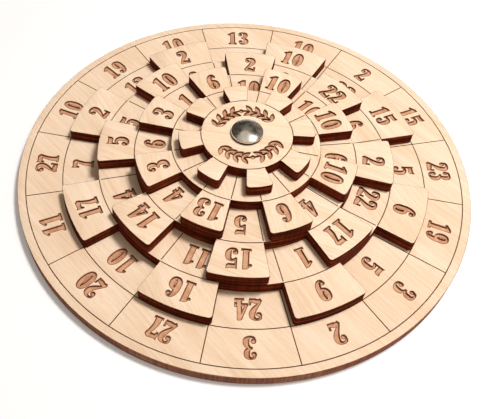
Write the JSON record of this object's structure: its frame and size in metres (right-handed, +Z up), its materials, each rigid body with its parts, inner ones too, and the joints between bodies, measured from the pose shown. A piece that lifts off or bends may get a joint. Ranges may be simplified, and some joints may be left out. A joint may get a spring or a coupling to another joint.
{
  "type": "number ring dial puzzle",
  "caption": "Round plywood base with stacked toothed dials, engraved with numbers, that turn on a central domed post.",
  "frame": {"origin": "middle of the base ply's flat underside, on the post's axis", "axes": "+Z up along the post, +Y towards sector 0 of the base, the one that reads 13; sectors count clockwise seen from above"},
  "size_m": [0.1494, 0.1494, 0.023],
  "materials": {
    "base_ply": "satin",
    "dial_ply": "satin",
    "polished_nickel": "polished",
    "plain_steel": "satin"
  },
  "bodies": {
    "base": {"base_disc": "base_ply", "centre_post": "polished_nickel", "back_washer": "plain_steel", "back_screw": "plain_steel"},
    "outer": {"outer_dial": "dial_ply"},
    "second": {"second_dial": "dial_ply"},
    "third": {"third_dial": "dial_ply"},
    "top": {"top_dial": "dial_ply"}
  },
  "joints": [
    {"name": "outer_dial_turn", "type": "hinge", "parent": "base", "child": "outer", "pos_m": [0, 0, 0.0041], "axis": [0, 0, 1], "continuous": true},
    {"name": "second_dial_turn", "type": "hinge", "parent": "base", "child": "second", "pos_m": [0, 0, 0.0082], "axis": [0, 0, 1], "continuous": true},
    {"name": "third_dial_turn", "type": "hinge", "parent": "base", "child": "third", "pos_m": [0, 0, 0.0123], "axis": [0, 0, 1], "continuous": true},
    {"name": "top_dial_turn", "type": "hinge", "parent": "base", "child": "top", "pos_m": [0, 0, 0.0164], "axis": [0, 0, 1], "continuous": true}
  ]
}
